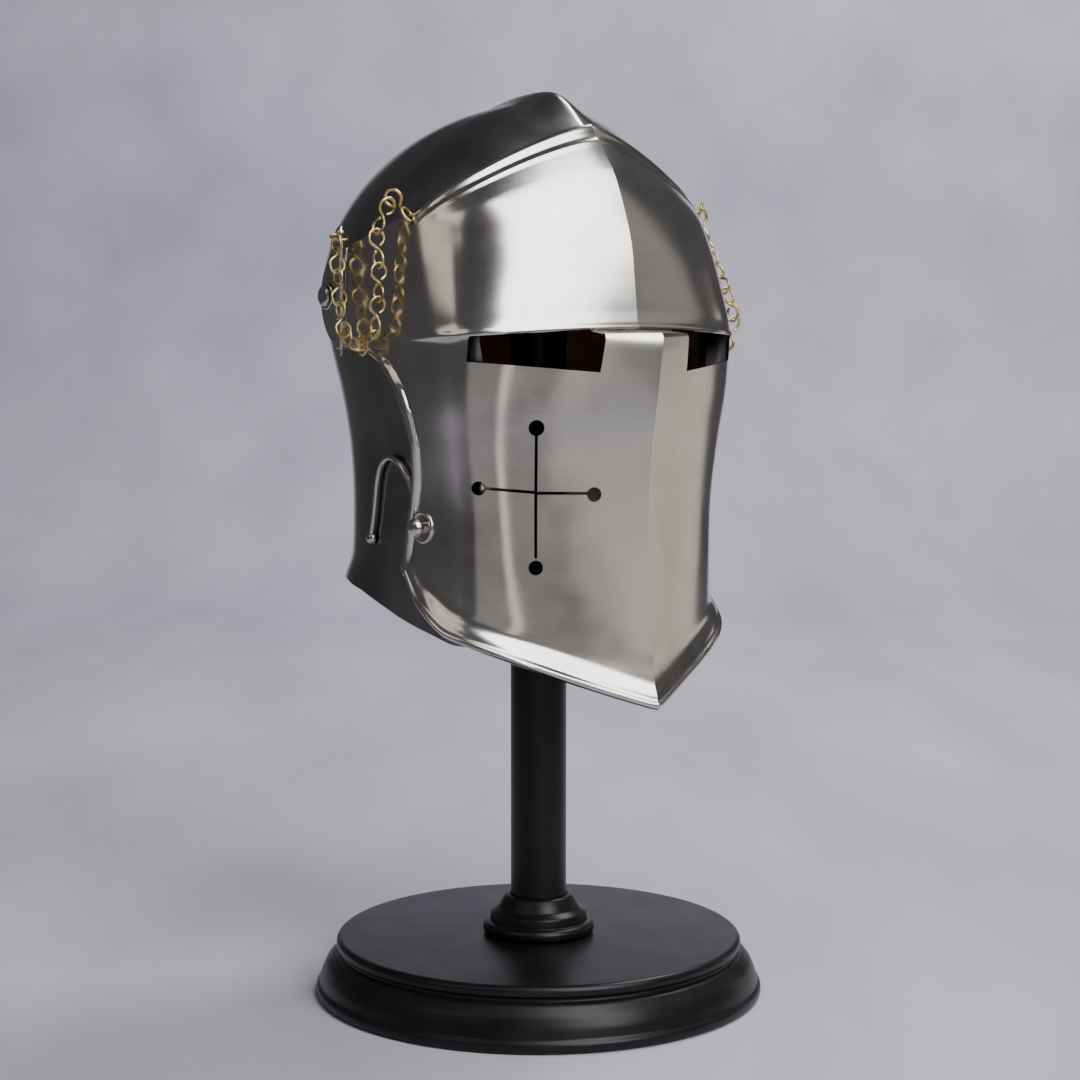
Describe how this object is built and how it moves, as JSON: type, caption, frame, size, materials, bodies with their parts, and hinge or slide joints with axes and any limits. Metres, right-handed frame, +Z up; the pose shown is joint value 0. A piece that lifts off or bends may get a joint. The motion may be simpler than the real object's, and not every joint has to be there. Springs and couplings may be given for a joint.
{
  "type": "visored barbute helmet on a turned stand",
  "caption": "Steel helmet with a close-fitting hinged visor, eye slots, pierced breaths, side hinges with pull-out pins on chains and a press latch, held up on a turned stand.",
  "frame": {"origin": "centre of the stand's base, on its flat underside", "axes": "+Z up along the post, -Y the way the visor faces, +X the wearer's left"},
  "size_m": [0.2538, 0.2681, 0.5065],
  "materials": {
    "black_wood": "satin black paint",
    "steel": "hand polished",
    "skull_steel": "hand polished, darker",
    "brass": "drawn wire",
    "leather": "worn brown"
  },
  "bodies": {
    "helmet": {"latch_spring": "steel", "lining": "leather", "pivot_rivet_left": "steel", "pivot_rivet_right": "steel", "skull": "skull_steel", "stand_base": "black_wood", "stand_collar": "black_wood", "stand_head": "black_wood", "stand_post": "black_wood"},
    "visor": {"chain_left_1": "brass", "chain_left_10": "brass", "chain_left_11": "brass", "chain_left_12": "brass", "chain_left_2": "brass", "chain_left_3": "brass", "chain_left_4": "brass", "chain_left_5": "brass", "chain_left_6": "brass", "chain_left_7": "brass", "chain_left_8": "brass", "chain_left_9": "brass", "chain_left_ring": "brass", "chain_right_1": "brass", "chain_right_10": "brass", "chain_right_2": "brass", "chain_right_3": "brass", "chain_right_4": "brass", "chain_right_5": "brass", "chain_right_6": "brass", "chain_right_7": "brass", "chain_right_8": "brass", "chain_right_9": "brass", "chain_right_ring": "brass", "hinge_leaf_left": "steel", "hinge_leaf_right": "steel", "hinge_pin_left": "steel", "hinge_pin_right": "steel", "pivot_washer_left": "steel", "pivot_washer_right": "steel", "visor": "steel"},
    "latch": {"latch_pin": "steel"}
  },
  "joints": [
    {"name": "visor_pivot", "type": "hinge", "parent": "helmet", "child": "visor", "pos_m": [0, 0.057, 0.394], "axis": [-1, 0, 0], "range_deg": [0, 75]},
    {"name": "latch_press", "type": "slide", "parent": "visor", "child": "latch", "axis": [0.9962, 0.0842, 0.0204], "range_m": [0, 0.005], "stiffness_N_per_m": 200}
  ]
}
